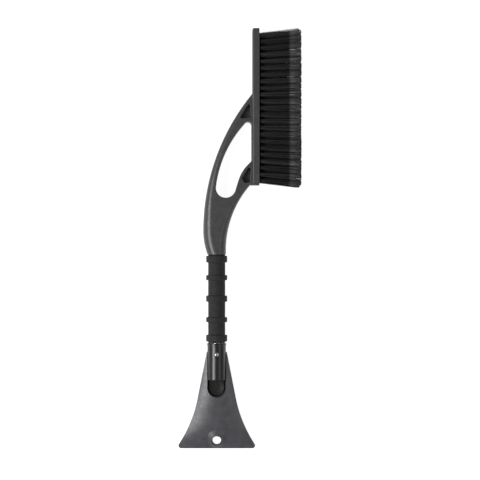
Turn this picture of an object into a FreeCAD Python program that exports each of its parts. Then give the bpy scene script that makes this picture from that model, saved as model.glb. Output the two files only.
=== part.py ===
import FreeCAD, Part
import math
import os

import Sketcher
from FreeCAD import Placement, Rotation, Vector

# A hand-held windshield ice scraper with a snow brush, lying flat on its back.
# Frame: +Z up out of the flat back, +Y along the tool from blade to brush, +X towards the bristle tips.
# Origin: the centre of the hanging hole, in the plane of the flat back.

DIMENSIONS = {
    # Handle line
    "axis_height": 17.0,
    "tube_radius": 9.0,
    "tube_wall": 1.2,
    "tube_start": 92.5,
    "tube_end": 284.0,
    # Scraper head
    "blade_edge": -11.1,
    "blade_half_width": 53.1,
    "blade_corner": 3.5,
    "flare_slope": 0.6,
    "side_taper": 0.196,
    "flare_end": 0.0,
    "head_end": 116.1,
    "head_half_width": 13.2,
    "head_wall": 3.0,
    "channel_radius": 12.3,
    "channel_floor": 69.6,
    "channel_wall": 2.6,
    "rib_thickness": 2.0,
    "rib_pitch": 13.0,
    "cavity_start": 10.0,
    "cavity_corner": 1.0,
    "hang_radius": 5.6,
    "hang_chamfer": 1.2,
    "hang_chamfer_depth": 2.0,
    "boss_foot_radius": 14.5,
    "boss_foot_depth": 1.0,
    "boss_radius": 7.4,
    "boss_height": 1.7,
    # Socket sleeve
    "sleeve_radius": 12.1,
    "sleeve_lip_radius": 12.5,
    "sleeve_lip_length": 3.4,
    "sleeve_lip_step": 0.4,
    "sleeve_start": 80.0,
    "sleeve_floor": 92.3,
    "sleeve_end": 128.3,
    "sleeve_rounding": 1.0,
    "shoe_radius": 9.9,
    "shoe_foot": 5.4,
    "shoe_top": 14.0,
    "shoe_rim": 0.4,
    "dish_radius": 4.0,
    "dish_depth": 0.6,
    "sleeve_play": 0.08,
    # Snap button and its leaf spring
    "button_place": 114.0,
    "button_radius": 2.95,
    "button_play": 0.15,
    "button_flange_radius": 3.6,
    "button_flange_foot": 6.0,
    "button_flange_top": 6.8,
    "button_top": 13.2,
    "button_dome": 2.0,
    "leaf_width": 5.0,
    "leaf_thickness": 0.5,
    "leaf_bend_radius": 2.4,
    "leaf_bend_place": 143.0,
    "leaf_length": 31.0,
    "leaf_angle": 7.3,
    # Foam grip
    "grip_start": 128.7,
    "grip_end": 244.4,
    "grip_radius": 11.2,
    "ring_radius": 13.85,
    "ring_rounding": 1.3,
    "end_ring_width": 8.8,
    "side_ring_width": 6.6,
    "middle_ring_width": 8.0,
    "end_ring_offset": 51.7,
    "side_ring_offset": 27.5,
    # Swan-neck arm
    "arm_thickness": 24.2,
    "neck_radius": 12.1,
    "neck_start": 244.4,
    "neck_straight": 250.0,
    "neck_rounding": 11.4,
    "shoulder_rounding": 11.0,
    "fork_rounding": 7.6,
    "strut_rounding": 4.0,
    "throat_rounding": 4.8,
    "window_rounding": 1.2,
    "recess_rounding": 0.7,
    "heel_radius": 90.0,
    "heel_top": 275.4,
    "fork_place": 335.0,
    "throat_split": 309.5,
    "back_radius": 282.0,
    "throat_radius": 130.0,
    "window_radius": 150.0,
    "window_corner": 13.0,
    "window_side": 45.3,
    "window_side_start": 366.4,
    "window_side_end": 411.6,
    "window_centre_x": 148.0,
    "window_centre_y": 315.0,
    "window_foot_angle": 173.1,
    "window_swell_angle": 344.0,
    "window_crown_angle": 138.2,
    "upper_recess_corner": 1.8,
    "lower_recess_corner": 2.0,
    "recess_web": 2.5,
    # Brush block, and the arm's rail and toe that hold it
    "arm_end": 334.8,
    "toe_thickness": 2.4,
    "rail_face": 48.6,
    "rail_end": 457.0,
    "block_back": 46.6,
    "block_face": 55.9,
    "block_end": 538.9,
    "block_depth": 34.0,
    "block_rounding": 2.4,
    "seat_play": 0.05,
    # Tufts
    "tuft_start": 340.8,
    "tuft_pitch": 8.6,
    "tuft_count": 23,
    "row_pitch": 8.4,
    "hole_radius": 2.5,
    "hole_depth": 5.5,
    "tuft_foot_radius": 1.8,
    "tuft_foot_depth": 4.5,
    "tuft_tip_radius": 4.1,
    "tuft_tip_place": 111.0,
    "tuft_fan": 0.055,
    "anchor_height": 0.8,
    "anchor_length": 4.6,
    "anchor_thickness": 0.4,
    # Screws
    "screw_radius": 1.75,
    "screw_bite": 0.05,
    "screw_head_radius": 3.4,
    "screw_head_height": 2.0,
    "screw_length": 9.0,
    "sleeve_screw_place": 86.0,
    "neck_screw_place": 262.0,
    "block_screw_radius": 1.5,
    "block_screw_head": 2.9,
    "block_screw_length": 8.6,
}

doc = FreeCAD.newDocument("IceScraper")
sheet = doc.addObject("Spreadsheet::Sheet", "dimensions")


def fill_sheet():
    """One row per driving dimension: its name, and its value under that alias."""
    for row, (alias, value) in enumerate(DIMENSIONS.items(), start=1):
        sheet.set(f"A{row}", alias)
        sheet.set(f"B{row}", str(value))
        sheet.setAlias(f"B{row}", alias)
    doc.recompute()


def size(expression):
    """The value in millimetres of an expression over the sheet."""
    value = sheet.evalExpression(expression)
    return float(getattr(value, "Value", value))


def bound(expression):
    """The expression as another object has to write it: every alias with its sheet's name in front."""
    words = expression.replace("(", "( ").replace(")", " )").split(" ")
    return " ".join(f"dimensions.{word}" if word in DIMENSIONS else word for word in words)


def bind(thing, **properties):
    """Bind properties of a document object to expressions over the sheet."""
    for name, expression in properties.items():
        thing.setExpression(name, bound(expression))


def place(thing, x="0", y="0", z="0", turn=None):
    """Give an object a turned placement whose position follows the sheet."""
    thing.Placement = Placement(Vector(0, 0, 0), turn or Rotation())
    for axis, expression in zip("xyz", (x, y, z)):
        thing.setExpression(f".Placement.Base.{axis}", bound(expression))


# ---------------------------------------------------------------- PartDesign helpers

def new_body(label):
    body = doc.addObject("PartDesign::Body", label)
    body.Label = label
    return body


def attached_sketch(body, name, role):
    sketch = body.newObject("Sketcher::SketchObject", name)
    plane = [feature for feature in body.Origin.OriginFeatures if feature.Role == role][0]
    sketch.AttachmentSupport = [(plane, "")]
    sketch.MapMode = "FlatFace"
    return sketch


def pin_point(sketch, geometry, point, x, y):
    """Hold one point of a sketch at a pair of expressions, measured from its origin."""
    for kind, expression, axis in (("DistanceX", x, -2), ("DistanceY", y, -1)):
        if abs(size(expression)) < 1e-9:
            sketch.addConstraint(Sketcher.Constraint("PointOnObject", geometry, point, axis))
            continue
        held = Sketcher.Constraint(kind, -1, 1, geometry, point, size(expression))
        index = sketch.addConstraint(held)
        sketch.setExpression(f"Constraints[{index}]", bound(expression))


def polygon(sketch, corners):
    """A closed outline of straight sides through corners given as pairs of expressions."""
    first = sketch.GeometryCount
    count = len(corners)
    spots = [Vector(size(x), size(y), 0) for x, y in corners]
    for index in range(count):
        sketch.addGeometry(Part.LineSegment(spots[index], spots[(index + 1) % count]), False)
    for index in range(count):
        after = first + (index + 1) % count
        sketch.addConstraint(Sketcher.Constraint("Coincident", first + index, 2, after, 1))
    for index, (x, y) in enumerate(corners):
        pin_point(sketch, first + index, 1, x, y)


def circle(sketch, x, y, radius):
    """A circle whose centre and radius are expressions."""
    spot = Vector(size(x), size(y), 0)
    index = sketch.addGeometry(Part.Circle(spot, Vector(0, 0, 1), size(radius)), False)
    pin_point(sketch, index, 3, x, y)
    held = sketch.addConstraint(Sketcher.Constraint("Radius", index, size(radius)))
    sketch.setExpression(f"Constraints[{held}]", bound(radius))


def turned(body, name, corners):
    """A full revolution about the body's Y axis of a profile given as (radius, place along) pairs."""
    sketch = attached_sketch(body, f"{name}_profile", "XY_Plane")
    polygon(sketch, corners)
    feature = body.newObject("PartDesign::Revolution", name)
    feature.Profile = sketch
    feature.ReferenceAxis = (sketch, ["V_Axis"])
    feature.Angle = 360
    doc.recompute()
    return feature


def padded(body, name, sketch, length, both_ways=False):
    feature = body.newObject("PartDesign::Pad", name)
    feature.Profile = sketch
    bind(feature, Length=length)
    feature.Midplane = both_ways
    doc.recompute()
    return feature


def pocketed(body, name, sketch, length, upward=False):
    """A pocket that must take something away: a pocket pointing out of the solid is an error."""
    before = body.Shape.Volume
    feature = body.newObject("PartDesign::Pocket", name)
    feature.Profile = sketch
    feature.Reversed = upward
    bind(feature, Length=length)
    doc.recompute()
    if body.Shape.Volume > before - 1e-3:
        raise RuntimeError(f"{name} cuts nothing")
    return feature


def drilled(body, name, y, radius, upward):
    """A round hole from the body's mid plane out through its upper or lower wall."""
    sketch = attached_sketch(body, f"{name}_circle", "XY_Plane")
    circle(sketch, "0", y, radius)
    return pocketed(body, name, sketch, "neck_radius * 2", upward)


def edge_names(shape, wanted):
    """Names of the edges whose midpoint and edge pass a test."""
    names = []
    for index, edge in enumerate(shape.Edges, start=1):
        middle = edge.valueAt((edge.FirstParameter + edge.LastParameter) / 2)
        if wanted(edge, middle):
            names.append(f"Edge{index}")
    return names


def rounded(body, name, radius, wanted):
    """A fillet on the chosen edges of the body's last feature."""
    base = body.Tip
    feature = body.newObject("PartDesign::Fillet", name)
    feature.Base = (base, edge_names(base.Shape, wanted))
    bind(feature, Radius=radius)
    doc.recompute()
    return feature


def is_hoop(edge, middle, radius, along):
    """True for a full circle about the Y axis with this radius and place along."""
    if not isinstance(edge.Curve, Part.Circle):
        return False
    return abs(edge.Curve.Radius - radius) < 1e-4 and abs(edge.Curve.Center.y - along) < 1e-4


# ---------------------------------------------------------------- Part helpers

def solid_box(name, x, y, z, length, width, height):
    box = doc.addObject("Part::Box", name)
    bind(box, Length=length, Width=width, Height=height)
    place(box, x, y, z)
    return box


def solid_cylinder(name, radius, height, x="0", y="0", z="0", turn=None):
    cylinder = doc.addObject("Part::Cylinder", name)
    bind(cylinder, Radius=radius, Height=height)
    place(cylinder, x, y, z, turn)
    return cylinder


def fused(name, *pieces):
    fusion = doc.addObject("Part::MultiFuse", name)
    fusion.Shapes = list(pieces)
    return fusion


def common(name, first, second):
    overlap = doc.addObject("Part::Common", name)
    overlap.Base = first
    overlap.Tool = second
    return overlap


def cut(name, base, tool):
    difference = doc.addObject("Part::Cut", name)
    difference.Base = base
    difference.Tool = tool
    return difference


def curve_sketch(name, curves):
    """A sketch outside any body that holds a closed chain of ready curves."""
    sketch = doc.addObject("Sketcher::SketchObject", name)
    sketch.addGeometry(curves, False)
    for index in range(len(curves)):
        sketch.addConstraint(Sketcher.Constraint("Block", index))
    return sketch


def extruded(name, sketch, length, both_ways=False):
    solid = doc.addObject("Part::Extrusion", name)
    solid.Base = sketch
    solid.DirMode = "Normal"
    solid.Solid = True
    solid.Symmetric = both_ways
    bind(solid, LengthFwd=length)
    return solid


def feature_from(label, shape):
    """A plain feature for a shape worked out from the sheet by the script."""
    feature = doc.addObject("Part::Feature", label)
    feature.Shape = shape
    return feature


# ---------------------------------------------------------------- Scraper head

def head_outline(inset, front):
    """The head's plan outline: a narrow shoulder, a straight taper, a flaring arc and the blade's edge.

    The outline can be inset for the hollow behind the face, which then starts at front."""
    edge = front
    end = size("head_end") - inset
    slope = size("flare_slope")
    half_blade = size("blade_half_width") - slope * (front - size("blade_edge")) - inset
    half_top = size("head_half_width") - inset
    # The flare's two ends lie on its two tangents, at equal distances from where they cross.
    taper = size("side_taper")
    low = size("flare_end")
    half_low = half_blade - slope * (low - edge)
    bend_y = (half_low + slope * low - half_top - taper * end) / (slope - taper)
    bend_x = half_low - slope * (bend_y - low)
    reach = math.hypot(bend_x - half_low, bend_y - low)
    up = Vector(-taper, 1, 0).normalize()
    bend = Vector(bend_x, bend_y, 0)
    flare_foot = Vector(half_low, low, 0)
    flare_head = bend + up * reach
    turn = math.atan(slope) - math.atan(taper)
    radius = reach / math.tan(turn / 2)
    centre = flare_head + Vector(1, taper, 0).normalize() * radius
    middle = centre + (bend - centre).normalize() * radius
    top = Vector(half_top, end, 0)
    corner = Vector(half_blade, edge, 0)
    right = [corner, flare_foot, middle, flare_head, top]
    return right


def head_plan(name, inset, front, corner_radius):
    """The outline as a sketch, mirrored about the tool's axis and rounded at the blade's corners."""
    corner, foot, middle, head, top = head_outline(inset, front)

    def mirror(point):
        return Vector(-point.x, point.y, 0)

    # Tangent points of the blade's corner rounding, and the arc's middle.
    side = (foot - corner).normalize()
    along = Vector(-1, 0, 0)
    half_angle = side.getAngle(along) / 2
    reach = corner_radius / math.tan(half_angle)
    on_side = corner + side * reach
    on_edge = corner + along * reach
    inward = (side + along).normalize()
    bulge = corner + inward * (corner_radius / math.sin(half_angle) - corner_radius)
    curves = [
        Part.LineSegment(mirror(on_edge), on_edge),
        Part.Arc(on_edge, bulge, on_side),
        Part.LineSegment(on_side, foot),
        Part.Arc(foot, middle, head),
        Part.LineSegment(head, top),
        Part.LineSegment(top, mirror(top)),
        Part.LineSegment(mirror(top), mirror(head)),
        Part.Arc(mirror(head), mirror(middle), mirror(foot)),
        Part.LineSegment(mirror(foot), mirror(on_side)),
        Part.Arc(mirror(on_side), mirror(bulge), mirror(on_edge)),
    ]
    return curve_sketch(name, curves)


# The crowned face: (place along, height on the centre line, half width, height at that half width).
FACE_STATIONS = [
    (126.0, 20.5, 18.0, 15.5),
    (95.0, 21.5, 23.0, 14.5),
    (60.0, 20.6, 30.0, 11.5),
    (34.0, 16.4, 38.0, 7.8),
    (14.0, 12.6, 46.0, 5.4),
    (2.0, 8.6, 53.0, 3.6),
    (-13.0, 1.9, 62.0, 1.7),
]


def face_loft(name, lift, foot):
    """A solid under the crowned face, lofted through arched sections; lift raises or lowers the face."""
    wires = []
    for along, crown, half_width, shoulder in FACE_STATIONS:
        left_foot = Vector(-half_width, along, foot)
        right_foot = Vector(half_width, along, foot)
        right_top = Vector(half_width, along, shoulder + lift)
        left_top = Vector(-half_width, along, shoulder + lift)
        arch = Part.Arc(right_top, Vector(0, along, crown + lift), left_top)
        edges = [
            Part.makeLine(left_foot, right_foot),
            Part.makeLine(right_foot, right_top),
            arch.toShape(),
            Part.makeLine(left_top, left_foot),
        ]
        wires.append(Part.Wire(edges))
    return feature_from(name, Part.makeLoft(wires, True, False))


def capsule(name, radius, length):
    """A round channel along the handle line with a domed foot, open upward."""
    along = Rotation(Vector(1, 0, 0), -90)
    barrel = solid_cylinder(f"{name}_barrel", radius, length, "0", "channel_floor", "axis_height", along)
    dome = doc.addObject("Part::Sphere", f"{name}_dome")
    bind(dome, Radius=radius)
    place(dome, "0", "channel_floor", "axis_height")
    mouth = solid_cylinder(f"{name}_mouth", radius, "neck_radius * 2", "0", "channel_floor", "axis_height")
    slot = solid_box(f"{name}_slot", f"0 - ({radius})", "channel_floor", "axis_height",
                     f"2 * ({radius})", length, "neck_radius * 2")
    return fused(name, barrel, dome, mouth, slot)


def face_at_hole():
    """The face at the hanging hole: its height, and its fall towards the blade's edge in degrees."""
    nearest = sorted(FACE_STATIONS, key=lambda station: abs(station[0]))[:2]
    (low, low_crown, _, _), (high, high_crown, _, _) = sorted(nearest)
    slope = (high_crown - low_crown) / (high - low)
    return low_crown - slope * low, math.degrees(math.atan(slope))


def cone_at_hole(name, foot_radius, top_radius, height, sunk):
    """A cone about the hanging hole, square to the face; sunk is how far its foot lies under the face."""
    crown, fall = face_at_hole()
    turn = Rotation(Vector(1, 0, 0), fall)
    cone = doc.addObject("Part::Cone", name)
    bind(cone, Radius1=foot_radius, Radius2=top_radius, Height=height)
    cone.Placement = Placement(Vector(0, 0, crown) - turn.multVec(Vector(0, 0, sunk)), turn)
    return cone


def make_scraper_head():
    wall = size("head_wall")
    plan = extruded("head_plan_solid", head_plan("head_plan", 0, size("blade_edge"), size("blade_corner")),
                    "neck_radius * 4")
    face = face_loft("head_face", 0.0, 0.0)
    shell = common("head_blank", face, plan)
    boss = cone_at_hole("hang_boss", "boss_foot_radius", "boss_radius", "boss_height + boss_foot_depth",
                        size("boss_foot_depth"))
    boss_on_plan = common("hang_boss_solid", boss, plan)

    cavity_plan = head_plan("cavity_plan", wall, size("cavity_start"), size("cavity_corner"))
    cavity_block = extruded("cavity_block", cavity_plan, "neck_radius * 4")
    cavity_face = face_loft("cavity_face", -wall, -1.0)
    cavity = common("cavity", cavity_face, cavity_block)
    ribs = []
    for index in range(-3, 4):
        rib = solid_box(f"head_rib_{index + 4}", f"{index} * rib_pitch - rib_thickness / 2", "0", "0",
                        "rib_thickness", "head_end", "neck_radius * 2")
        ribs.append(rib)
    trough = capsule("trough", "channel_radius + channel_wall", "head_end")
    hollow = cut("hollow", cavity, fused("kept_walls", trough, *ribs))
    channel = capsule("channel", "channel_radius", "head_end")
    hole = solid_cylinder("hang_hole", "hang_radius", "neck_radius * 4", "0", "0", "0 - neck_radius")
    chamfer = cone_at_hole("hang_chamfer_way", "hang_radius", "hang_radius + hang_chamfer",
                           "hang_chamfer_depth", size("hang_chamfer_depth - boss_height"))
    screw_hole = screw_way("head_screw_way", "0", "sleeve_screw_place",
                           "axis_height - channel_radius - channel_wall", Rotation())
    tools = fused("head_tools", hollow, channel, hole, chamfer, screw_hole)
    head = cut("scraper_head", fused("head_solid", shell, boss_on_plan), tools)
    head.Label = "scraper_head"
    return head


# ---------------------------------------------------------------- Handle line

def make_sleeve_shoe():
    """The low shoe ahead of the sleeve, round in front, with a shallow dish in its top."""
    height = "shoe_top - shoe_foot"
    reach = "sleeve_start - channel_floor + 1"
    nose = solid_cylinder("shoe_nose", "shoe_radius", height, "0", "channel_floor", "shoe_foot")
    bar = solid_box("shoe_bar", "0 - shoe_radius", "channel_floor", "shoe_foot",
                    "2 * shoe_radius", reach, height)
    dish = doc.addObject("Part::Cone", "shoe_dish_nose")
    bind(dish, Radius1="dish_radius", Radius2="shoe_radius - shoe_rim", Height="dish_depth")
    place(dish, "0", "channel_floor", "shoe_top - dish_depth")
    trough = solid_box("shoe_dish_bar", "0 - dish_radius", "channel_floor", "shoe_top - dish_depth",
                       "2 * dish_radius", reach, "dish_depth")
    way = capsule("shoe_way", "sleeve_radius", "sleeve_end - channel_floor")
    block = common("shoe_in_channel", fused("shoe_block", nose, bar), way)
    return cut("sleeve_shoe", block, fused("shoe_dish", dish, trough))


def make_socket_sleeve():
    body = new_body("sleeve_barrel")
    lip_foot = "sleeve_end - sleeve_lip_length"
    bore = "tube_radius + sleeve_play"
    turned(body, "sleeve_turning", [
        ("0", "sleeve_start"),
        ("sleeve_radius", "sleeve_start"),
        ("sleeve_radius", lip_foot),
        ("sleeve_lip_radius", f"{lip_foot} + sleeve_lip_step"),
        ("sleeve_lip_radius", "sleeve_end"),
        (bore, "sleeve_end"),
        (bore, "sleeve_floor"),
        ("0", "sleeve_floor"),
    ])
    drilled(body, "sleeve_button_hole", "button_place", "button_radius + button_play", True)
    drilled(body, "sleeve_screw_hole", "sleeve_screw_place", "screw_radius - screw_bite", False)
    ends = (
        (size("sleeve_lip_radius"), size("sleeve_end")),
        (size("sleeve_radius"), size("sleeve_start")),
    )
    rounded(body, "sleeve_edges", "sleeve_rounding",
            lambda edge, middle: any(is_hoop(edge, middle, *end) for end in ends))
    place(body, z="axis_height")
    sleeve = fused("socket_sleeve", body, make_sleeve_shoe())
    sleeve.Label = "socket_sleeve"
    return sleeve


def make_handle_tube():
    body = new_body("handle_tube")
    inner = "tube_radius - tube_wall"
    turned(body, "tube_turning", [
        (inner, "tube_start"),
        ("tube_radius", "tube_start"),
        ("tube_radius", "tube_end"),
        (inner, "tube_end"),
    ])
    drilled(body, "tube_button_hole", "button_place", "button_radius + button_play", True)
    drilled(body, "tube_screw_hole", "neck_screw_place", "screw_radius - screw_bite", False)
    place(body, z="axis_height")
    return body


def make_snap_button():
    body = new_body("snap_button")
    turned(body, "button_turning", [
        ("0", "button_flange_foot"),
        ("button_flange_radius", "button_flange_foot"),
        ("button_flange_radius", "button_flange_top"),
        ("button_radius", "button_flange_top"),
        ("button_radius", "button_top"),
        ("0", "button_top"),
    ])
    top = (size("button_radius"), size("button_top"))
    rounded(body, "button_rounding", "button_dome", lambda edge, middle: is_hoop(edge, middle, *top))
    place(body, "0", "button_place", "axis_height", Rotation(Vector(1, 0, 0), 90))
    return body


def make_snap_spring():
    """A V of spring strip: two legs that part from a tight bend, one under the button's flange."""
    angle = math.radians(size("leaf_angle"))
    bend = size("leaf_bend_radius")
    half_strip = size("leaf_thickness") / 2
    rise = bend * math.cos(angle) + size("leaf_length") * math.sin(angle)
    underside = size("axis_height + button_flange_foot")
    centre = Vector(0, size("leaf_bend_place"), underside - half_strip - rise)
    corners = []
    for side in (1, -1):
        foot = centre + Vector(0, bend * math.sin(angle), side * bend * math.cos(angle))
        end = foot + Vector(0, -math.cos(angle), side * math.sin(angle)) * size("leaf_length")
        corners.append((foot, end))
    (upper_foot, upper_end), (lower_foot, lower_end) = corners
    nose = centre + Vector(0, bend, 0)
    path = Part.Wire([
        Part.makeLine(upper_end, upper_foot),
        Part.Arc(upper_foot, nose, lower_foot).toShape(),
        Part.makeLine(lower_foot, lower_end),
    ])
    half_width = size("leaf_width") / 2
    across = Vector(0, math.sin(angle), math.cos(angle)) * half_strip
    section = Part.makePolygon([
        upper_end + Vector(-half_width, 0, 0) - across,
        upper_end + Vector(half_width, 0, 0) - across,
        upper_end + Vector(half_width, 0, 0) + across,
        upper_end + Vector(-half_width, 0, 0) + across,
        upper_end + Vector(-half_width, 0, 0) - across,
    ])
    return feature_from("snap_spring", path.makePipeShell([section], True, True))


def grip_rings():
    """Place and width of each raised ring, as expressions."""
    middle = "(grip_start + grip_end) / 2"
    return [
        (f"{middle} - end_ring_offset", "end_ring_width"),
        (f"{middle} - side_ring_offset", "side_ring_width"),
        (middle, "middle_ring_width"),
        (f"{middle} + side_ring_offset", "side_ring_width"),
        (f"{middle} + end_ring_offset", "end_ring_width"),
    ]


def make_foam_grip():
    body = new_body("foam_grip")
    corners = [("tube_radius", "grip_start"), ("grip_radius", "grip_start")]
    hoops = []
    for ring_place, width in grip_rings():
        low = f"{ring_place} - {width} / 2"
        high = f"{ring_place} + {width} / 2"
        corners += [("grip_radius", low), ("ring_radius", low), ("ring_radius", high), ("grip_radius", high)]
        hoops += [size(low), size(high)]
    corners += [("grip_radius", "grip_end"), ("tube_radius", "grip_end")]
    turned(body, "grip_turning", corners)
    radius = size("ring_radius")
    rounded(body, "ring_edges", "ring_rounding",
            lambda edge, middle: any(is_hoop(edge, middle, radius, hoop) for hoop in hoops))
    place(body, z="axis_height")
    return body


# ---------------------------------------------------------------- Swan-neck arm

def arc_between(centre, radius, start, end):
    """An arc about a centre between two angles in degrees, with its two end points."""
    spots = []
    for angle in (start, (start + end) / 2, end):
        turn = math.radians(angle)
        spots.append(centre + Vector(math.cos(turn), math.sin(turn), 0) * radius)
    return Part.Arc(*spots), spots[0], spots[-1]


def arm_outline():
    """The arm in plan: heel, back and throat arcs, the rail behind the block and the toe under its end.

    The back and throat arcs are each in two lengths, so that the edge rounding can change between them."""
    neck = size("neck_radius")
    low = size("neck_start")
    fork = size("fork_place")
    heel = size("heel_radius")
    heel_top = size("heel_top")
    heel_angle = math.degrees(math.asin((heel_top - low) / heel))
    # The heel passes through the neck's left corner and stands upright at its top, where the back takes over.
    heel_centre = Vector(-neck + heel * math.cos(math.radians(heel_angle)), heel_top, 0)
    heel_arc, heel_start, _ = arc_between(heel_centre, heel, 180 + heel_angle, 180)
    back = size("back_radius")
    back_centre = Vector(heel_centre.x - heel + back, heel_top, 0)
    fork_angle = 180 - math.degrees(math.asin((fork - heel_top) / back))
    back_angle = 180 - math.degrees(math.acos((back_centre.x - size("block_back")) / back))
    lower_back, _, _ = arc_between(back_centre, back, 180, fork_angle)
    upper_back, _, back_end = arc_between(back_centre, back, fork_angle, back_angle)
    throat = size("throat_radius")
    straight = size("neck_straight")
    throat_centre = Vector(neck + throat, straight, 0)
    arm_end = size("arm_end")
    throat_angle = 180 - math.degrees(math.asin((arm_end - straight) / throat))
    split_angle = 180 - math.degrees(math.asin((size("throat_split") - straight) / throat))
    upper_throat, throat_end, _ = arc_between(throat_centre, throat, throat_angle, split_angle)
    lower_throat, _, throat_start = arc_between(throat_centre, throat, split_angle, 180)
    rail = size("rail_face")
    toe = arm_end + size("toe_thickness")
    block_face = size("block_face")
    corners = [
        back_end,
        Vector(rail, back_end.y, 0),
        Vector(rail, toe, 0),
        Vector(block_face, toe, 0),
        Vector(block_face, arm_end, 0),
        throat_end,
    ]
    sides = [Part.LineSegment(one, other) for one, other in zip(corners, corners[1:])]
    foot = Vector(neck, low, 0)
    return [
        heel_arc,
        lower_back,
        upper_back,
        *sides,
        upper_throat,
        lower_throat,
        Part.LineSegment(throat_start, foot),
        Part.LineSegment(foot, heel_start),
    ]


# The window's swell past the lower recess: two points on it, and its directions at the foot and at the side.
WINDOW_SWELL = [Vector(28.3, 340.5, 0), Vector(35.2, 355.0, 0)]
SWELL_LEAVES = Vector(0.28, 0.96, 0)
SWELL_ARRIVES = Vector(0.66, 0.75, 0)
# The middle of the window's rounded crown.
WINDOW_CROWN = Vector(43.3, 416.6, 0)
# Corners of the two recesses. The lower one is a teardrop drawn out towards the window's side.
UPPER_RECESS = [Vector(43.9, 444.0, 0), Vector(29.4, 421.2, 0), Vector(44.6, 423.4, 0)]
LOWER_RECESS = [
    Vector(33.0, 343.8, 0),
    Vector(36.6, 337.6, 0),
    Vector(43.6, 338.8, 0),
    Vector(45.0, 358.4, 0),
    Vector(41.2, 357.0, 0),
]


def window_outline():
    """The hand window: a long arc beside the strut, a round foot, and a swell past the lower recess."""
    corner = size("window_corner")
    side = size("window_side")
    radius = size("window_radius")
    centre = Vector(size("window_centre_x"), size("window_centre_y"), 0)
    foot_angle = size("window_foot_angle")
    toward_foot = Vector(math.cos(math.radians(foot_angle)), math.sin(math.radians(foot_angle)), 0)
    # The foot's circle touches the long arc from inside.
    foot_centre = centre + toward_foot * (radius - corner)
    foot_arc, _, foot_end = arc_between(foot_centre, corner, foot_angle, size("window_swell_angle"))
    side_start = Vector(side, size("window_side_start"), 0)
    side_end = Vector(side, size("window_side_end"), 0)
    swell = Part.BSplineCurve()
    swell.interpolate(
        Points=[foot_end, *WINDOW_SWELL, side_start],
        InitialTangent=SWELL_LEAVES,
        FinalTangent=SWELL_ARRIVES,
    )
    long_arc, crown_end, _ = arc_between(centre, radius, size("window_crown_angle"), foot_angle)
    return [
        foot_arc,
        swell,
        Part.LineSegment(side_start, side_end),
        Part.Arc(side_end, WINDOW_CROWN, crown_end),
        long_arc,
    ]


def rounded_corners(corners, radius):
    """A closed outline of straight sides with every corner rounded by the same radius."""
    count = len(corners)
    cuts = []
    for index, corner in enumerate(corners):
        back = (corners[index - 1] - corner).normalize()
        ahead = (corners[(index + 1) % count] - corner).normalize()
        half_angle = back.getAngle(ahead) / 2
        reach = radius / math.tan(half_angle)
        inward = (back + ahead).normalize()
        middle = corner + inward * (radius / math.sin(half_angle) - radius)
        cuts.append((corner + back * reach, middle, corner + ahead * reach))
    curves = []
    for index, (start, middle, end) in enumerate(cuts):
        curves.append(Part.Arc(start, middle, end))
        curves.append(Part.LineSegment(end, cuts[(index + 1) % count][0]))
    return curves


def plan_wires(*sketches):
    return [wire for sketch in sketches for wire in sketch.Shape.Wires]


def make_arm_blank():
    """The arm's plan extruded, with rounded outer edges: nearly a round bar at the neck, flatter ahead."""
    blank = extruded("arm_blank", curve_sketch("arm_plan", arm_outline()), "arm_thickness", True)
    doc.recompute()
    half = size("arm_thickness") / 2
    neck = (size("neck_start"), size("neck_rounding"))
    shoulder = (size("heel_top"), size("shoulder_rounding"))
    back_radii = [
        neck,
        shoulder,
        (size("fork_place"), size("fork_rounding")),
        (size("rail_end"), size("strut_rounding")),
    ]
    throat_radii = [neck, shoulder, (size("arm_end"), size("throat_rounding"))]

    def radius_at(radii, along):
        for (low, start), (high, end) in zip(radii, radii[1:]):
            if along <= high:
                return start + (end - start) * (along - low) / (high - low)
        return radii[-1][1]

    rows = []
    for index, edge in enumerate(blank.Shape.Edges, start=1):
        first, last = [vertex.Point for vertex in edge.Vertexes]
        flat = abs(abs(first.z) - half) < 1e-6 and abs(first.z - last.z) < 1e-6
        neck_end = first.y < size("neck_straight") and last.y < size("neck_straight") and (
            abs(first.y - last.y) < 1e-6)
        at_block = max(first.x, last.x) > size("block_back") + 0.01
        if not flat or neck_end or at_block:
            continue
        on_back = max(first.x, last.x) <= 0 or max(first.y, last.y) > size("arm_end")
        radii = back_radii if on_back else throat_radii
        rows.append((index, radius_at(radii, first.y), radius_at(radii, last.y)))
    rounding = doc.addObject("Part::Fillet", "arm_rounding")
    rounding.Base = blank
    rounding.Edges = rows
    doc.recompute()
    return rounding


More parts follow.
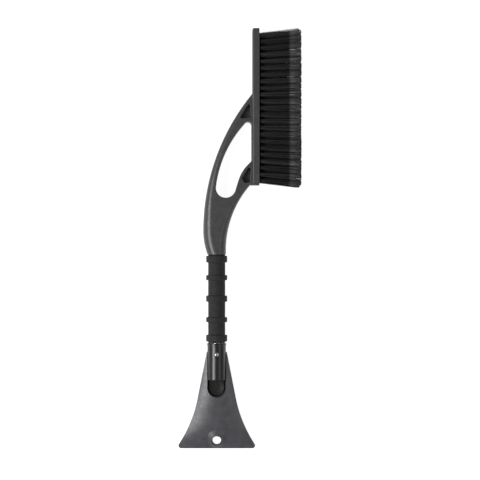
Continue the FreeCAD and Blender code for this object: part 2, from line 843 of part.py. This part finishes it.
def make_swan_neck_arm():
    blank = make_arm_blank()
    window_plan = curve_sketch("window_plan", window_outline())
    recess_plans = [
        curve_sketch("upper_recess_plan", rounded_corners(UPPER_RECESS, size("upper_recess_corner"))),
        curve_sketch("lower_recess_plan", rounded_corners(LOWER_RECESS, size("lower_recess_corner"))),
    ]
    window = extruded("window_tool", window_plan, "block_depth * 2", True)
    recesses = [extruded(f"{plan.Name}_tool", plan, "block_depth * 2", True) for plan in recess_plans]
    web = solid_box("recess_web", "0", "arm_end", "0 - recess_web / 2", "block_face", "block_end - arm_end",
                    "recess_web")
    hollows = cut("recess_tools", fused("recess_pair", *recesses), web)
    pierced = cut("pierced_arm", blank, fused("opening_tools", window, hollows))
    doc.recompute()

    half = size("arm_thickness") / 2
    rims = [(wire, size("window_rounding")) for wire in plan_wires(window_plan)]
    rims += [(wire, size("recess_rounding")) for wire in plan_wires(*recess_plans)]
    rows = []
    for index, edge in enumerate(pierced.Shape.Edges, start=1):
        middle = edge.valueAt((edge.FirstParameter + edge.LastParameter) / 2)
        if abs(abs(middle.z) - half) > 1e-4:
            continue
        spot = Part.Vertex(Vector(middle.x, middle.y, 0))
        for rim, radius in rims:
            if spot.distToShape(rim)[0] < 1e-4:
                rows.append((index, radius, radius))
    rims_rounded = doc.addObject("Part::Fillet", "rims_rounded")
    rims_rounded.Base = pierced
    rims_rounded.Edges = rows
    doc.recompute()

    along = Rotation(Vector(1, 0, 0), -90)
    bore = solid_cylinder("neck_bore", "tube_radius", "tube_end - neck_start + 1",
                          "0", "neck_start - 1", "0", along)
    screw_ways = [screw_way("neck_screw_way", "0", "neck_screw_place", "0 - neck_radius", Rotation())]
    for index, spot in enumerate(block_screw_places(), start=1):
        screw_ways.append(block_screw_way(f"rail_screw_way_{index}", "window_side", spot, "0"))
    arm = cut("swan_neck_arm", rims_rounded, fused("arm_tools", bore, *screw_ways))
    arm.Label = "swan_neck_arm"
    place(arm, z="axis_height")
    return arm


# ---------------------------------------------------------------- Screws

def screw_shape(name, spot, turn, radius, head_radius, head_height, length):
    """A countersunk screw whose head is flush at its spot and whose shank runs along the turned Z axis."""
    x, y, z = spot
    head = doc.addObject("Part::Cone", f"{name}_head")
    bind(head, Radius1=head_radius, Radius2=radius, Height=head_height)
    place(head, x, y, z, turn)
    shank = solid_cylinder(f"{name}_shank", radius, length, x, y, z, turn)
    return fused(name, head, shank)


def screw_way(name, x, y, z, turn):
    """The clearance that a countersunk screw needs: its own shape, wider by the play."""
    return screw_shape(name, (x, y, z), turn, "screw_radius + seat_play", "screw_head_radius + seat_play",
                       "screw_head_height", "screw_length")


def block_screw_way(name, x, y, z):
    return screw_shape(name, (x, y, z), Rotation(Vector(0, 1, 0), 90), "block_screw_radius + seat_play",
                       "block_screw_head + seat_play", "block_screw_head - block_screw_radius",
                       "block_screw_length + seat_play")


def block_screw_places():
    """The two block screws sit in the window's side, between the tuft holes of the two middle rows."""
    return ["tuft_start + 4.25 * tuft_pitch", "tuft_start + 7.25 * tuft_pitch"]


def make_screw(label, spot):
    screw = screw_shape(label, spot, Rotation(), "screw_radius", "screw_head_radius", "screw_head_height",
                        "screw_length")
    screw.Label = label
    return screw


def make_block_screws():
    screws = []
    for index, along in enumerate(block_screw_places(), start=1):
        screw = screw_shape(f"block_screw_{index}", ("window_side", along, "axis_height"),
                            Rotation(Vector(0, 1, 0), 90), "block_screw_radius", "block_screw_head",
                            "block_screw_head - block_screw_radius", "block_screw_length")
        screws.append(screw)
    return compound("block_screws", screws)


def compound(label, links):
    group = doc.addObject("Part::Compound", label)
    group.Label = label
    group.Links = links
    return group


# ---------------------------------------------------------------- Brush

def tuft_rows():
    """The height of each row of tufts and the place of its first tuft; every second row is staggered."""
    rows = []
    for index in range(4):
        staggered = index % 2 == 1
        height = f"axis_height + {1.5 - index} * row_pitch"
        start = "tuft_start + tuft_pitch / 2" if staggered else "tuft_start"
        count = int(size("tuft_count")) - (1 if staggered else 0)
        rows.append((height, start, count))
    return rows


def rectangle_corners(left, low, right, high):
    return [(left, low), (right, low), (right, high), (left, high)]


def offset_sketch(body, name, offset):
    """A sketch on the body's YZ plane moved along X."""
    sketch = attached_sketch(body, name, "YZ_Plane")
    sketch.setExpression(".AttachmentOffset.Base.z", bound(offset))
    return sketch


def make_brush_block():
    body = new_body("brush_block")
    start = "arm_end + toe_thickness + seat_play"
    plan = offset_sketch(body, "block_side", "block_back")
    polygon(plan, rectangle_corners(start, "0", "block_end", "block_depth"))
    padded(body, "block_pad", plan, "block_face - block_back")
    back = size("block_back")
    rounded(body, "block_back_edges", "block_rounding", lambda edge, middle: abs(middle.x - back) < 1e-6)

    seat = offset_sketch(body, "rail_seat", "block_back")
    half = "(arm_thickness / 2 + seat_play)"
    polygon(seat, rectangle_corners("arm_end", f"axis_height - {half}",
                                    "rail_end + seat_play", f"axis_height + {half}"))
    pocketed(body, "rail_seat_pocket", seat, "rail_face - block_back + seat_play", upward=True)

    screws = offset_sketch(body, "screw_pilots", "block_back")
    for along in block_screw_places():
        circle(screws, along, "axis_height", "block_screw_radius")
    pocketed(body, "screw_pilot_pocket", screws, "window_side + block_screw_length - block_back", upward=True)

    for name, rows in (("straight", tuft_rows()[0::2]), ("staggered", tuft_rows()[1::2])):
        holes = offset_sketch(body, f"{name}_holes", "block_face")
        for height, first, _ in rows:
            circle(holes, first, height, "hole_radius")
        pocket = pocketed(body, f"{name}_hole_pair", holes, "hole_depth")
        pattern = body.newObject("PartDesign::LinearPattern", f"{name}_hole_rows")
        pattern.Originals = [pocket]
        pattern.Direction = (holes, ["H_Axis"])
        count = rows[0][2]
        pattern.Occurrences = count
        bind(pattern, Length=f"{count - 1} * tuft_pitch")
        body.Tip = pattern
        doc.recompute()
    return body


def make_bristle_row(number, height, first, count):
    """One row of tufts: each a slender cone from the foot of its hole, leaning out towards the row's ends."""
    foot_place = "block_face - tuft_foot_depth"
    length = size("tuft_tip_place") - size(foot_place)
    middle = (size("tuft_start") * 2 + size("tuft_pitch") * (size("tuft_count") - 1)) / 2
    tufts = []
    for index in range(count):
        along = f"{first} + {index} * tuft_pitch"
        lean = (size(along) - middle) * size("tuft_fan")
        direction = Vector(length, lean, 0)
        tuft = doc.addObject("Part::Cone", f"tuft_{number}_{index + 1}")
        bind(tuft, Radius1="tuft_foot_radius", Radius2="tuft_tip_radius")
        tuft.Height = length
        place(tuft, foot_place, along, height, Rotation(Vector(0, 0, 1), direction))
        tufts.append(tuft)
    return compound(f"bristle_row_{number}", tufts)


def make_tuft_anchors():
    """One flat metal anchor at the foot of each hole, across the tuft that it holds."""
    anchors = []
    for number, (height, first, count) in enumerate(tuft_rows(), start=1):
        for index in range(count):
            anchor = solid_box(f"anchor_{number}_{index + 1}", "block_face - hole_depth",
                               f"{first} + {index} * tuft_pitch - anchor_length / 2",
                               f"{height} - anchor_thickness / 2",
                               "anchor_height", "anchor_length", "anchor_thickness")
            anchors.append(anchor)
    return compound("tuft_anchors", anchors)


# ---------------------------------------------------------------- The whole tool

def check_and_write(pieces):
    for thing in doc.Objects:
        if "Invalid" in thing.State or "Error" in thing.State:
            raise RuntimeError(f"{thing.Label} did not recompute: {thing.State}")
    for piece in pieces:
        if piece.Shape.isNull() or not piece.Shape.isValid():
            raise RuntimeError(f"{piece.Label} has no valid shape")
    os.makedirs("parts", exist_ok=True)
    for piece in pieces:
        piece.Shape.exportStep(f"parts/{piece.Label}.step")
        print(f"{piece.Label}: {len(piece.Shape.Solids)} solid(s), {piece.Shape.Volume:.0f} mm3")


def main():
    fill_sheet()
    pieces = [
        make_scraper_head(),
        make_socket_sleeve(),
        make_screw("sleeve_screw",
                   ("0", "sleeve_screw_place", "axis_height - channel_radius - channel_wall")),
        make_handle_tube(),
        make_snap_button(),
        make_snap_spring(),
        make_foam_grip(),
        make_swan_neck_arm(),
        make_screw("neck_screw", ("0", "neck_screw_place", "axis_height - neck_radius")),
        make_brush_block(),
        make_block_screws(),
        make_tuft_anchors(),
    ]
    for number, (height, first, count) in enumerate(tuft_rows(), start=1):
        pieces.append(make_bristle_row(number, height, first, count))
    doc.recompute()
    check_and_write(pieces)


main()
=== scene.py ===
import math
import random

import bmesh
import bpy
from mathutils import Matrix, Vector, noise


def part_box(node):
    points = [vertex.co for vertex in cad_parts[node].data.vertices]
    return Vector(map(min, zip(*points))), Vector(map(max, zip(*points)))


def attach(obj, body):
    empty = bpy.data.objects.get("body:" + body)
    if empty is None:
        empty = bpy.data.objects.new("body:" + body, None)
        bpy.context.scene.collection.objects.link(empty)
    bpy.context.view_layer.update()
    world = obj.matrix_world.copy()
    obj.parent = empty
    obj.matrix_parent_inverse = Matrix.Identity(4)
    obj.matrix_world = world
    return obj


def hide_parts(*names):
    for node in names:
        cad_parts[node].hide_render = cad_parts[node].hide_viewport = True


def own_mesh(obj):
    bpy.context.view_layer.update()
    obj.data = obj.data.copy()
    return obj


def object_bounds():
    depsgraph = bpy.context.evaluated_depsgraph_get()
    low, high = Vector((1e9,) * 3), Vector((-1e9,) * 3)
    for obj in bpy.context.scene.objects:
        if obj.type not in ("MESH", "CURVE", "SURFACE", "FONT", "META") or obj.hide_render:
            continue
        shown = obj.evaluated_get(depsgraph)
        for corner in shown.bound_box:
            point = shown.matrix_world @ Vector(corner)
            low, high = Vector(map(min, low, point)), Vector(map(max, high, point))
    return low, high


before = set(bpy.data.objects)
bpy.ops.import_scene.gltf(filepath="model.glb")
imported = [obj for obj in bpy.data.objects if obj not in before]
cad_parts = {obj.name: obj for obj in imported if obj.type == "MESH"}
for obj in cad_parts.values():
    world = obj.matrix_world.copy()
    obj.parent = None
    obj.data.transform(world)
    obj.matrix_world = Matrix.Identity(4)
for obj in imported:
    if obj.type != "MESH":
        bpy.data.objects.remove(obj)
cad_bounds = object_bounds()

# The windshield ice scraper with its snow brush. The hard parts keep their CAD shapes and get moulded-plastic
# and metal finishes. The leaf spring is a copy of its CAD node. The foam grip and the bristles
# are modelled here. Lengths are in metres.

MM = 0.001
SEED = 7

# Camera and light
VIEW_SPAN = 628.6 * MM        # width of the view on the tool's middle plane
VIEW_SHIFT = Vector((0.2 * MM, -0.8 * MM))   # from the middle of the tool to the middle of the view
LENS = 135.0
SENSOR = 36.0
FLOOR_RADIUS = 9.0
FLOOR_GAP = 0.3 * MM
SKY_TOP = 0.24                # brightness overhead
SKY_RIM = 0.42                # brightness at the horizon
SKY_RISE = 0.45               # sine of the height at which the sky has fallen to its overhead brightness
KEY_BRIGHTNESS = 9.6
FILL_BRIGHTNESS = 1.1
PAPER_GLOW = 0.94             # the paper is lit through from below, so it shows hardly any shadow
LAMP_DISTANCE = 1.6
LAMP_TILT = 38.0              # degrees from straight above, to either side of the handle
LAMP_LENGTH = 1.2
LAMP_SHIFT = -320 * MM        # along the tool, towards the blade
LAMP_WIDTH = 0.70

# Foam grip
GRIP_RADIUS = 11.2 * MM
RING_WIDTHS = [8.8 * MM, 6.6 * MM, 8.0 * MM, 6.6 * MM, 8.8 * MM]
RING_OFFSETS = [-51.7 * MM, -27.5 * MM, 0.0, 27.5 * MM, 51.7 * MM]
RING_EDGE = 1.3 * MM          # rounding of a ring's outer edges
RING_FOOT = 0.7 * MM          # hollow rounding where a ring meets the plain foam
GRIP_STEP = 0.8 * MM          # longest run between two hoops of the mesh
GRIP_SIDES = 128
FOAM_UNEVENNESS = 0.12 * MM
FOAM_WAVE = 14 * MM           # distance over which the foam rises and falls

# Bristles
ROW_COUNTS = {1: 23, 2: 22, 3: 23, 4: 22}
TUFT_PITCH = 8.6 * MM
TUFT_FAN = 0.055              # sideways lean at the tip for each metre from the row's middle
FOOT_RADIUS = 2.3 * MM
TIP_RADIUS = 4.5 * MM
BRISTLE_RADIUS = 0.24 * MM
BRISTLES_PER_TUFT = 80
LOCKS_PER_TUFT = 6
BRISTLE_STEPS = 6
BRISTLE_TAPER = 0.35          # share of its thickness that a bristle loses by its tip
LOCK_PULL = 0.45              # how far a bristle's tip is drawn towards the middle of its lock
BOW = 0.5 * MM
FRAY = 0.7 * MM
TRIM = 1.6 * MM               # how unevenly the tips are cut
CORNER_WEAR = 4.5 * MM        # how much shorter the outermost bristles of a row are
TUFT_SHADES = (0.85, 1.15)    # lightness of a tuft, of a lock in it and of a bristle in that, as shares
LOCK_SHADES = (0.7, 1.3)
BRISTLE_SHADES = (0.75, 1.25)


# ---------------------------------------------------------------- Camera, light and floor

def make_camera():
    """A long lens straight above the tool, with the handle upright in the picture."""
    low, high = cad_bounds
    middle = (low + high) / 2
    data = bpy.data.cameras.new("camera")
    data.lens = LENS
    data.sensor_width = SENSOR
    camera = bpy.data.objects.new("camera", data)
    distance = VIEW_SPAN * LENS / SENSOR
    camera.location = (middle.x + VIEW_SHIFT.x, middle.y + VIEW_SHIFT.y, middle.z + distance)
    bpy.context.collection.objects.link(camera)
    bpy.context.scene.camera = camera


def make_lamp(name, side, brightness):
    """A long soft box to one side, turned towards the tool's length; side is -1 for left and 1 for right."""
    low, high = cad_bounds
    middle = (low + high) / 2
    tilt = math.radians(LAMP_TILT) * side
    data = bpy.data.lights.new(name, "AREA")
    data.shape = "RECTANGLE"
    data.size = LAMP_WIDTH
    data.size_y = LAMP_LENGTH
    data.energy = brightness * math.pi * LAMP_WIDTH * LAMP_LENGTH
    lamp = bpy.data.objects.new(name, data)
    lamp.location = middle + Vector((math.sin(tilt), 0, math.cos(tilt))) * LAMP_DISTANCE
    lamp.location.y += LAMP_SHIFT
    lamp.rotation_euler = (0, tilt, 0)
    lamp.visible_camera = False
    bpy.context.collection.objects.link(lamp)


def make_sky():
    """A dim studio ceiling that brightens towards the horizon."""
    world = bpy.data.worlds.new("studio")
    world.use_nodes = True
    tree = world.node_tree
    direction = add(tree, "TexCoord", {}).outputs["Generated"]
    height = add(tree, "SeparateXYZ", {"Vector": direction}).outputs["Z"]
    brightness = remap(tree, height, SKY_RIM, SKY_TOP, 0.0, SKY_RISE)
    background = tree.nodes["Background"]
    background.inputs["Color"].default_value = (1.0, 1.0, 1.0, 1.0)
    tree.links.new(brightness, background.inputs["Strength"])
    bpy.context.scene.world = world


def make_floor():
    mesh = bpy.data.meshes.new("floor")
    shape = bmesh.new()
    bmesh.ops.create_circle(shape, cap_ends=True, segments=96, radius=FLOOR_RADIUS)
    shape.to_mesh(mesh)
    shape.free()
    floor = bpy.data.objects.new("floor", mesh)
    floor.location.z = cad_bounds[0].z - FLOOR_GAP
    mesh.materials.append(floor_paper())
    bpy.context.collection.objects.link(floor)


# ---------------------------------------------------------------- Materials

def new_material(name, **uniform):
    """A Principled material. Uniform values are given by the socket's name with underscores for spaces."""
    material = bpy.data.materials.new(name)
    material.use_nodes = True
    shader = material.node_tree.nodes["Principled BSDF"]
    for socket, value in uniform.items():
        shader.inputs[socket.replace("_", " ")].default_value = value
    return material, material.node_tree, shader


def add(tree, kind, inputs, **settings):
    """Add a node; an input is a value, or another node's output to link from."""
    made = tree.nodes.new(f"ShaderNode{kind}")
    for name, value in settings.items():
        setattr(made, name, value)
    for socket, value in inputs.items():
        if isinstance(value, bpy.types.NodeSocket):
            tree.links.new(value, made.inputs[socket])
        else:
            made.inputs[socket].default_value = value
    return made


def place_on_object(tree, stretch=(1.0, 1.0, 1.0)):
    """The place on the object in metres, which the textures follow; stretch draws them out along an axis."""
    where = add(tree, "TexCoord", {})
    mapping = add(tree, "Mapping", {"Vector": where.outputs["Object"], "Scale": stretch})
    return mapping.outputs["Vector"]


def noise_at(tree, where, grain, detail=2.0, roughness=0.5):
    """Noise whose features are about one grain across."""
    inputs = {"Vector": where, "Scale": 1.0 / grain, "Detail": detail, "Roughness": roughness}
    made = add(tree, "TexNoise", inputs)
    return made.outputs["Fac"]


def remap(tree, value, low, high, start=0.35, end=0.65):
    limits = {"From Min": start, "From Max": end, "To Min": low, "To Max": high}
    made = add(tree, "MapRange", {"Value": value, **limits})
    return made.outputs["Result"]


def shades(tree, value, dark, light):
    """A colour between two, by a value from 0 to 1."""
    made = add(tree, "Mix", {"Factor": value, 6: (*dark, 1.0), 7: (*light, 1.0)}, data_type="RGBA")
    return made.outputs[2]


def bumped(tree, shader, height, depth, under=None):
    """Put a bump of that depth in metres on the shader, over another bump if one is given."""
    inputs = {"Height": height, "Distance": depth, "Strength": 1.0}
    if under is not None:
        inputs["Normal"] = under
    made = add(tree, "Bump", inputs)
    tree.links.new(made.outputs["Normal"], shader.inputs["Normal"])
    return made.outputs["Normal"]


def moulded_plastic(name, shade, tint, roughness, grain, grain_depth):
    """Dark moulded plastic: a fine spark-eroded grain, faint flow mottling and slow sink-mark waves."""
    material, tree, shader = new_material(name, IOR=1.49)
    where = place_on_object(tree)
    mottle = remap(tree, noise_at(tree, where, 9 * MM, detail=3.0), 0.0, 1.0)
    dark = [shade * 0.88 * part for part in tint]
    light = [shade * 1.12 * part for part in tint]
    tree.links.new(shades(tree, mottle, dark, light), shader.inputs["Base Color"])
    patches = noise_at(tree, where, 4 * MM, detail=4.0)
    tree.links.new(remap(tree, patches, roughness - 0.03, roughness + 0.05), shader.inputs["Roughness"])
    waves = bumped(tree, shader, noise_at(tree, where, 16 * MM, detail=0.0), 0.10 * MM)
    bumped(tree, shader, noise_at(tree, where, grain, detail=1.0), grain_depth, under=waves)
    return material


def glossy_plastic():
    """Polished plastic of the socket sleeve, with faint rubbing marks along its length."""
    material, tree, shader = new_material("sleeve_gloss", IOR=1.5)
    along = place_on_object(tree, stretch=(1.0, 0.06, 1.0))
    marks = noise_at(tree, along, 0.5 * MM, detail=3.0)
    tone = shades(tree, marks, (0.005, 0.005, 0.006), (0.008, 0.008, 0.009))
    tree.links.new(tone, shader.inputs["Base Color"])
    tree.links.new(remap(tree, marks, 0.27, 0.31), shader.inputs["Roughness"])
    return material


def foam():
    """Closed-cell foam with a fine skin of pores."""
    material, tree, shader = new_material("grip_foam", IOR=1.45)
    where = place_on_object(tree)
    pores = add(tree, "TexVoronoi", {"Vector": where, "Scale": 1.0 / (0.55 * MM), "Randomness": 1.0})
    cell = pores.outputs["Distance"]
    soft = noise_at(tree, where, 5 * MM, detail=3.0)
    tree.links.new(
        shades(tree, remap(tree, soft, 0.0, 1.0), (0.0118, 0.0112, 0.0116), (0.0172, 0.0162, 0.0168)),
        shader.inputs["Base Color"])
    tree.links.new(remap(tree, cell, 0.62, 0.86, 0.0, 0.7), shader.inputs["Roughness"])
    swell = bumped(tree, shader, soft, 0.12 * MM)
    bumped(tree, shader, cell, 0.07 * MM, under=swell)
    return material


def bristle_fibre():
    """Dark plastic filaments, each a little different, with a paler band before the dark cut ends."""
    material, tree, shader = new_material("bristle_fibre", IOR=1.49, Specular_IOR_Level=0.15)
    shade = add(tree, "Attribute", {}, attribute_name="shade").outputs["Fac"]
    along = add(tree, "Attribute", {}, attribute_name="along").outputs["Fac"]
    ramp = add(tree, "ValToRGB", {"Fac": along})
    stops = ramp.color_ramp.elements
    stops[0].position = 0.0
    stops[0].color = (0.032, 0.032, 0.033, 1)
    stops[1].position = 1.0
    stops[1].color = (0.030, 0.030, 0.031, 1)
    for place, grey in ((0.71, 0.032), (0.77, 0.135), (0.94, 0.140), (0.985, 0.060)):
        stop = stops.new(place)
        stop.color = (grey, grey, grey * 1.02, 1)
    tone = add(tree, "Mix", {"Factor": 1.0, 6: ramp.outputs["Color"], 7: shade}, data_type="RGBA",
               blend_type="MULTIPLY")
    tree.links.new(tone.outputs[2], shader.inputs["Base Color"])
    tree.links.new(remap(tree, along, 0.60, 0.85, 0.60, 0.75), shader.inputs["Roughness"])
    return material


def metal(name, shade, roughness, stretch, depth):
    """Bare metal with fine drawing or turning lines along the stretched axis."""
    material, tree, shader = new_material(name, Metallic=1.0)
    lines = noise_at(tree, place_on_object(tree, stretch), 0.25 * MM, detail=3.0)
    dark = [part * 0.85 for part in shade]
    tree.links.new(shades(tree, lines, dark, shade), shader.inputs["Base Color"])
    tree.links.new(remap(tree, lines, roughness - 0.04, roughness + 0.08), shader.inputs["Roughness"])
    bumped(tree, shader, lines, depth)
    return material


def floor_paper():
    """Matt white studio paper, lit through from below."""
    material, tree, shader = new_material(
        "studio_paper", Roughness=0.9, Specular_IOR_Level=0.1,
        Emission_Color=(1.0, 1.0, 1.0, 1.0), Emission_Strength=PAPER_GLOW)
    tone = noise_at(tree, place_on_object(tree), 0.4, detail=1.0)
    tree.links.new(shades(tree, tone, (0.24, 0.24, 0.24), (0.26, 0.26, 0.26)), shader.inputs["Base Color"])
    return material


def finish_cad_nodes():
    """Give the CAD nodes their finishes. The leaf spring's copy takes its finish from the node."""
    arm_tint = (1.0, 0.99, 1.0)
    blade_tint = (0.98, 0.96, 1.08)
    finishes = {
        "scraper_head": moulded_plastic("blade_satin", 0.060, blade_tint, 0.36, 0.30 * MM, 0.010 * MM),
        "swan_neck_arm": moulded_plastic("arm_satin", 0.046, arm_tint, 0.34, 0.35 * MM, 0.012 * MM),
        "brush_block": moulded_plastic("block_satin", 0.044, arm_tint, 0.42, 0.35 * MM, 0.014 * MM),
        "socket_sleeve": glossy_plastic(),
        "handle_tube": metal("drawn_aluminium", (0.72, 0.73, 0.74), 0.30, (1.0, 0.05, 1.0), 0.004 * MM),
        "snap_button": metal("polished_steel", (0.62, 0.62, 0.63), 0.14, (1.0, 1.0, 1.0), 0.002 * MM),
        "snap_spring": metal("spring_steel", (0.45, 0.45, 0.46), 0.26, (1.0, 0.05, 1.0), 0.003 * MM),
        "tuft_anchors": metal("anchor_steel", (0.50, 0.50, 0.50), 0.30, (1.0, 1.0, 1.0), 0.003 * MM),
    }
    screw_steel = metal("screw_steel", (0.48, 0.48, 0.50), 0.28, (1.0, 1.0, 0.1), 0.004 * MM)
    for name in ("sleeve_screw", "neck_screw", "block_screws"):
        finishes[name] = screw_steel
    for name, material in finishes.items():
        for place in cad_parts[name].material_slots:
            place.material = material


# ---------------------------------------------------------------- Leaf spring

def make_spring():
    """The leaf spring in its CAD shape, as a copy of the node fixed to the tool."""
    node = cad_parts["snap_spring"]
    spring = bpy.data.objects.new("leaf_spring", node.data.copy())
    bpy.context.collection.objects.link(spring)
    for place, finished in zip(spring.material_slots, node.material_slots):
        place.material = finished.material
    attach(spring, "tool")
    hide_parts("snap_spring")
    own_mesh(spring)


# ---------------------------------------------------------------- Foam grip

def arc(centre_along, centre_radius, size, start, end, steps=5):
    """Points of an arc in a turned profile, from one angle to another in degrees, as (along, radius)."""
    points = []
    for step in range(steps + 1):
        angle = math.radians(start + (end - start) * step / steps)
        points.append((centre_along + size * math.cos(angle), centre_radius + size * math.sin(angle)))
    return points


def grip_profile(start, end, ring_radius, bore_radius):
    """The foam's outer side from start to end, with its rings' rounded feet and edges, then its bore."""
    middle = (start + end) / 2
    points = arc(start + RING_FOOT, GRIP_RADIUS - RING_FOOT, RING_FOOT, 180, 90)
    for offset, width in zip(RING_OFFSETS, RING_WIDTHS):
        low = middle + offset - width / 2
        high = middle + offset + width / 2
        points += arc(low - RING_FOOT, GRIP_RADIUS + RING_FOOT, RING_FOOT, 270, 360)
        points += arc(low + RING_EDGE, ring_radius - RING_EDGE, RING_EDGE, 180, 90)
        points += arc(high - RING_EDGE, ring_radius - RING_EDGE, RING_EDGE, 90, 0)
        points += arc(high + RING_FOOT, GRIP_RADIUS + RING_FOOT, RING_FOOT, 180, 270)
    points += arc(end - RING_FOOT, GRIP_RADIUS - RING_FOOT, RING_FOOT, 90, 0)
    return points + [(end, bore_radius), (start, bore_radius)]


def divided(points, longest):
    """The same closed profile with its long runs cut into short ones."""
    result = []
    for this, after in zip(points, points[1:] + points[:1]):
        steps = max(1, math.ceil(math.dist(this, after) / longest))
        for step in range(steps):
            share = step / steps
            result.append(tuple(a + (b - a) * share for a, b in zip(this, after)))
    return result


def make_grip():
    low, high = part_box("foam_grip")
    axis = (low + high) / 2
    bore_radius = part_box("handle_tube")[1].x
    profile = divided(grip_profile(low.y, high.y, high.x, bore_radius), GRIP_STEP)
    shape = bmesh.new()
    hoops = []
    for along, radius in profile:
        hoop = []
        for side in range(GRIP_SIDES):
            angle = math.tau * side / GRIP_SIDES
            outward = Vector((math.cos(angle), 0, math.sin(angle)))
            place = Vector((axis.x, along, axis.z)) + outward * radius
            if radius > bore_radius:
                place += outward * FOAM_UNEVENNESS * (noise.noise(place / FOAM_WAVE) - 0.5)
            hoop.append(shape.verts.new(place))
        hoops.append(hoop)
    for this, after in zip(hoops, hoops[1:] + hoops[:1]):
        for side in range(GRIP_SIDES):
            beside = (side + 1) % GRIP_SIDES
            shape.faces.new((this[side], this[beside], after[beside], after[side]))
    bmesh.ops.recalc_face_normals(shape, faces=shape.faces)
    grip = finished_piece("grip_sleeve", shape, foam())
    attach(grip, "tool")
    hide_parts("foam_grip")


def finished_piece(name, shape, material):
    mesh = bpy.data.meshes.new(name)
    shape.to_mesh(mesh)
    shape.free()
    mesh.shade_smooth()
    mesh.materials.append(material)
    piece = bpy.data.objects.new(name, mesh)
    bpy.context.collection.objects.link(piece)
    return piece


# ---------------------------------------------------------------- Bristles

def in_disc(draw):
    """A random point in the unit disc."""
    radius = math.sqrt(draw.random())
    angle = draw.uniform(0, math.tau)
    return Vector((radius * math.cos(angle), radius * math.sin(angle)))


def filament_path(draw, foot, reach, lean, spot, lock):
    """Places along one filament. It starts in its hole, spreads with its tuft and lock, bows a little, and
    frays near the tip."""
    gathered = spot.lerp(lock, LOCK_PULL)
    bow = in_disc(draw) * BOW
    fray = in_disc(draw) * FRAY
    places = []
    for step in range(BRISTLE_STEPS + 1):
        share = step / BRISTLE_STEPS
        spread = spot * FOOT_RADIUS * (1 - share) + gathered * TIP_RADIUS * share
        aside = spread + bow * math.sin(math.pi * share) + fray * share ** 4
        places.append(foot + Vector((reach * share, aside.x + lean * share, aside.y)))
    return places


def make_bristle_row(number, material):
    low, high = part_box(f"bristle_row_{number}")
    middle = (low + high) / 2
    draw = random.Random(SEED + number)
    count = ROW_COUNTS[number]
    reach = high.x - low.x
    vertices = []
    faces = []
    shade = []
    along = []
    corners = [Vector((math.cos(math.tau * k / 3), math.sin(math.tau * k / 3))) for k in range(3)]
    for tuft in range(count):
        place = middle.y + (tuft - (count - 1) / 2) * TUFT_PITCH
        foot = Vector((low.x, place, middle.z))
        lean = (place - middle.y) * TUFT_FAN
        locks = [in_disc(draw) for _ in range(LOCKS_PER_TUFT)]
        lock_shades = [draw.uniform(*LOCK_SHADES) for _ in locks]
        lock_trims = [draw.uniform(0, 0.5) * TRIM for _ in locks]
        tuft_shade = draw.uniform(*TUFT_SHADES)
        outward = {0: -1, count - 1: 1}.get(tuft, 0)
        for _ in range(BRISTLES_PER_TUFT):
            spot = in_disc(draw)
            nearest = min(range(LOCKS_PER_TUFT), key=lambda k: (locks[k] - spot).length)
            own_reach = reach - lock_trims[nearest] - draw.uniform(0, 0.5) * TRIM
            own_reach -= max(0, spot.x * outward) * CORNER_WEAR
            path = filament_path(draw, foot, own_reach, lean, spot, locks[nearest])
            tone = tuft_shade * lock_shades[nearest] * draw.uniform(*BRISTLE_SHADES)
            base = len(vertices)
            for step, centre in enumerate(path):
                radius = BRISTLE_RADIUS * (1 - BRISTLE_TAPER * step / BRISTLE_STEPS)
                for corner in corners:
                    vertices.append(centre + Vector((0, corner.x, corner.y)) * radius)
                    shade.append(tone)
                    along.append(step / BRISTLE_STEPS * own_reach / reach)
            for step in range(BRISTLE_STEPS):
                ring = base + 3 * step
                for k in range(3):
                    beside = (k + 1) % 3
                    faces.append((ring + k, ring + beside, ring + 3 + beside, ring + 3 + k))
            faces.append((base + 2, base + 1, base))
            last = base + 3 * BRISTLE_STEPS
            faces.append((last, last + 1, last + 2))
    mesh = bpy.data.meshes.new(f"bristles_{number}")
    mesh.from_pydata(vertices, [], faces)
    for name, values in (("shade", shade), ("along", along)):
        mesh.attributes.new(name, "FLOAT", "POINT").data.foreach_set("value", values)
    mesh.shade_smooth()
    mesh.materials.append(material)
    row = bpy.data.objects.new(f"bristles_{number}", mesh)
    bpy.context.collection.objects.link(row)
    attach(row, "tool")
    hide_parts(f"bristle_row_{number}")


# ---------------------------------------------------------------- The scene

def main():
    bpy.context.scene.view_settings.view_transform = "Standard"
    make_camera()
    make_sky()
    make_lamp("key_light", -1, KEY_BRIGHTNESS)
    make_lamp("fill_light", 1, FILL_BRIGHTNESS)
    make_floor()
    finish_cad_nodes()
    make_spring()
    make_grip()
    fibre = bristle_fibre()
    for number in ROW_COUNTS:
        make_bristle_row(number, fibre)


main()
